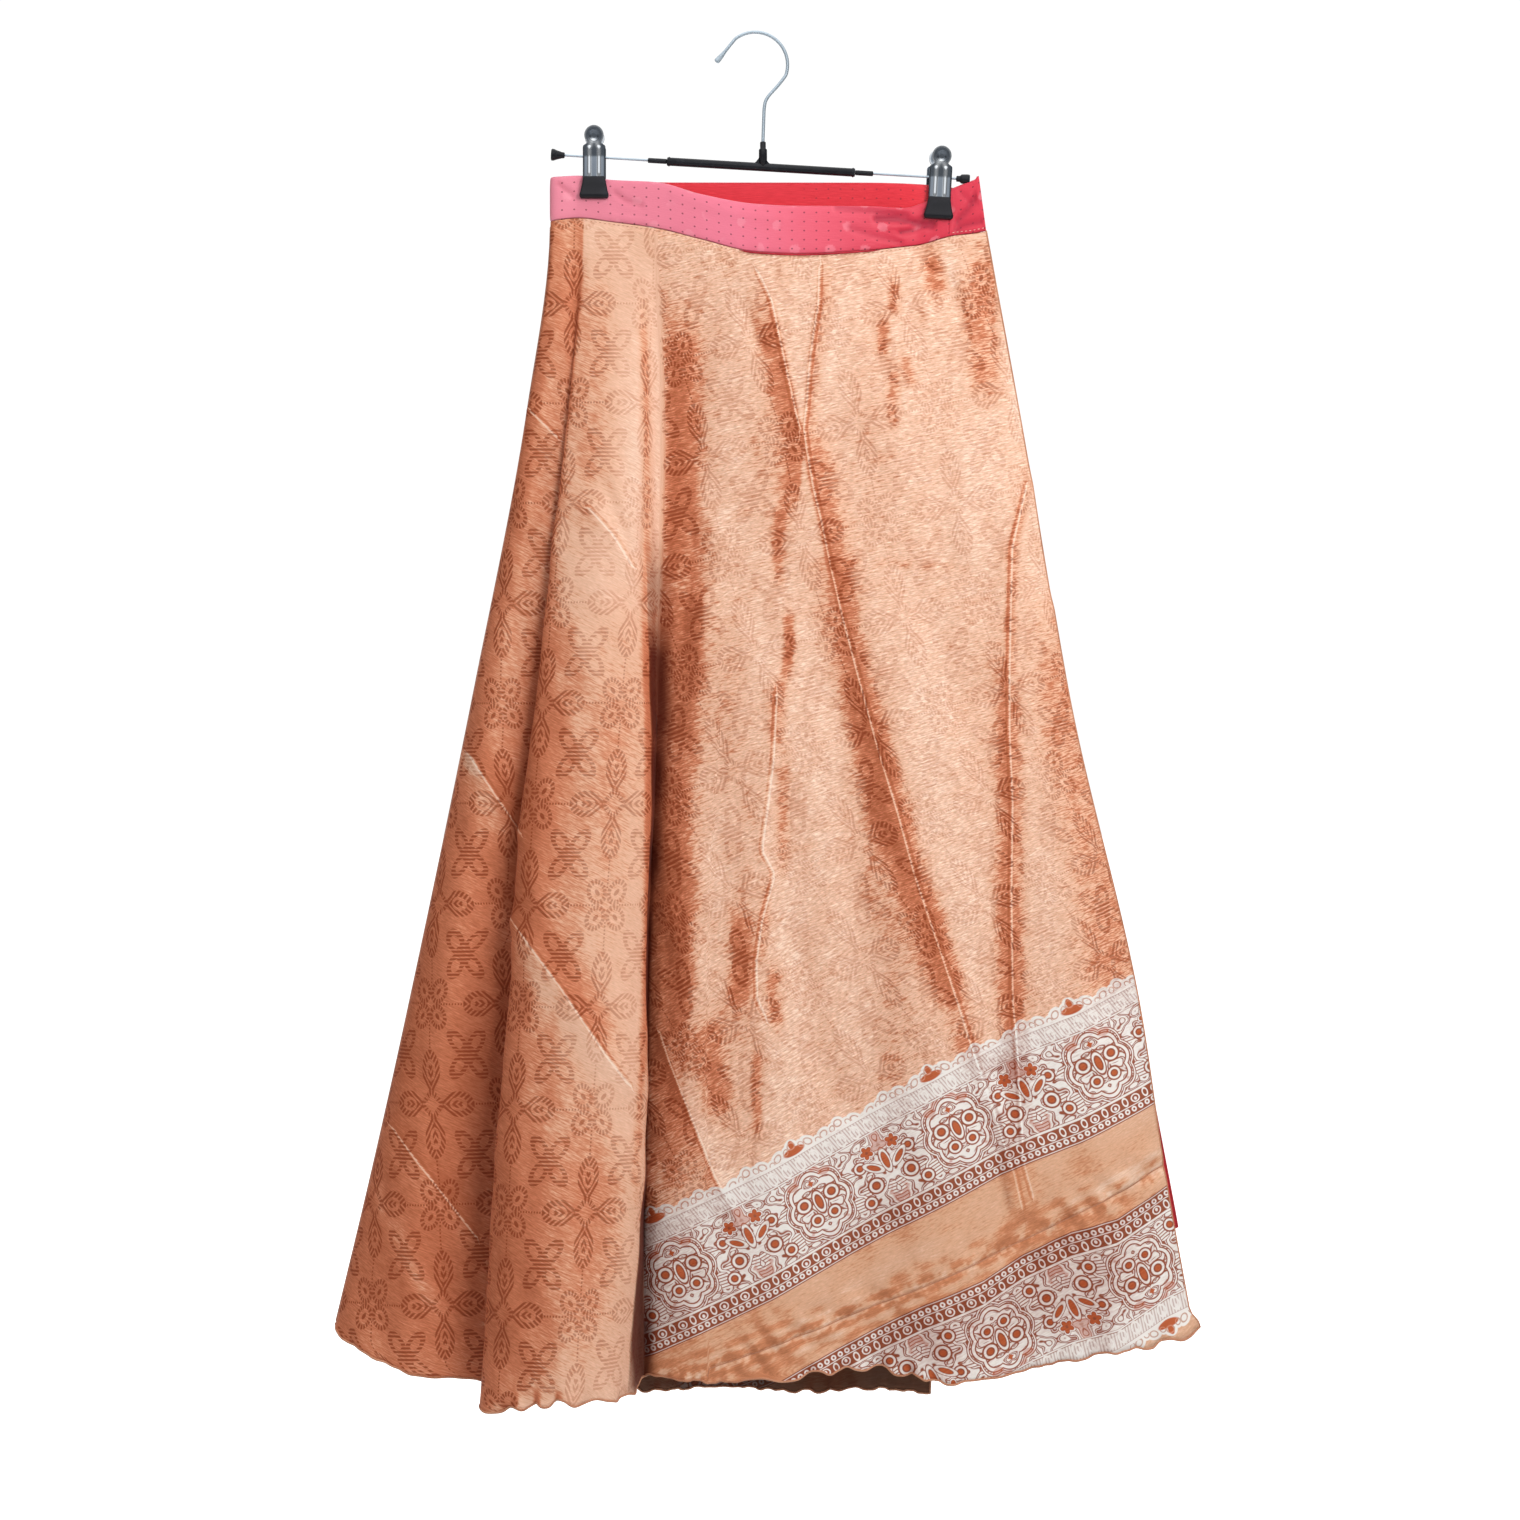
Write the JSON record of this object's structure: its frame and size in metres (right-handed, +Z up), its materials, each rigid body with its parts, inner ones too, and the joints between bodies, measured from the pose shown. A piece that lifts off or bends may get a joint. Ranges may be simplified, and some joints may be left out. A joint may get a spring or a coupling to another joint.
{
  "type": "wrap skirt on clip hanger",
  "caption": "Flared two-layer wrap skirt in printed satin with a sagging folded waistband, hung by its band from a wire hanger with clips.",
  "frame": {"origin": "underside of the hook's crown, where it rests on a rail", "axes": "+Z up, -Y out of the front of the skirt, +X to the right as seen from the front"},
  "size_m": [0.6399, 0.1429, 1.0197],
  "materials": {
    "satin": "printed art-silk satin with slubs",
    "satin_back": "printed art-silk satin with slubs",
    "border": "printed border on satin",
    "red_cloth": "plain weave, slight sheen",
    "band_pink": "shaded pink to red, woven marks",
    "band_red": "plain red",
    "steel": "bright wire",
    "chrome": "polished",
    "black_plastic": "satin moulding",
    "black_rubber": "matte"
  },
  "bodies": {
    "root": {"back_panel": "satin_back", "band_back": "band_red", "band_front": "band_pink", "bar_wire_left": "steel", "bar_wire_right": "steel", "border_piece": "border", "clip_left_barrel": "chrome", "clip_left_plate_back": "chrome", "clip_left_plate_front": "chrome", "clip_left_tip_back": "black_rubber", "clip_left_tip_front": "black_rubber", "clip_right_barrel": "chrome", "clip_right_plate_back": "chrome", "clip_right_plate_front": "chrome", "clip_right_tip_back": "black_rubber", "clip_right_tip_front": "black_rubber", "end_cap_left": "black_plastic", "end_cap_right": "black_plastic", "front_panel": "satin", "hook": "steel", "socket": "black_plastic", "thin_sleeve_left": "black_plastic", "thin_sleeve_right": "black_plastic", "tie_back": "band_red", "tie_front": "band_red", "tie_front_root": "band_red", "under_back": "red_cloth", "under_front": "red_cloth"}
  },
  "joints": []
}
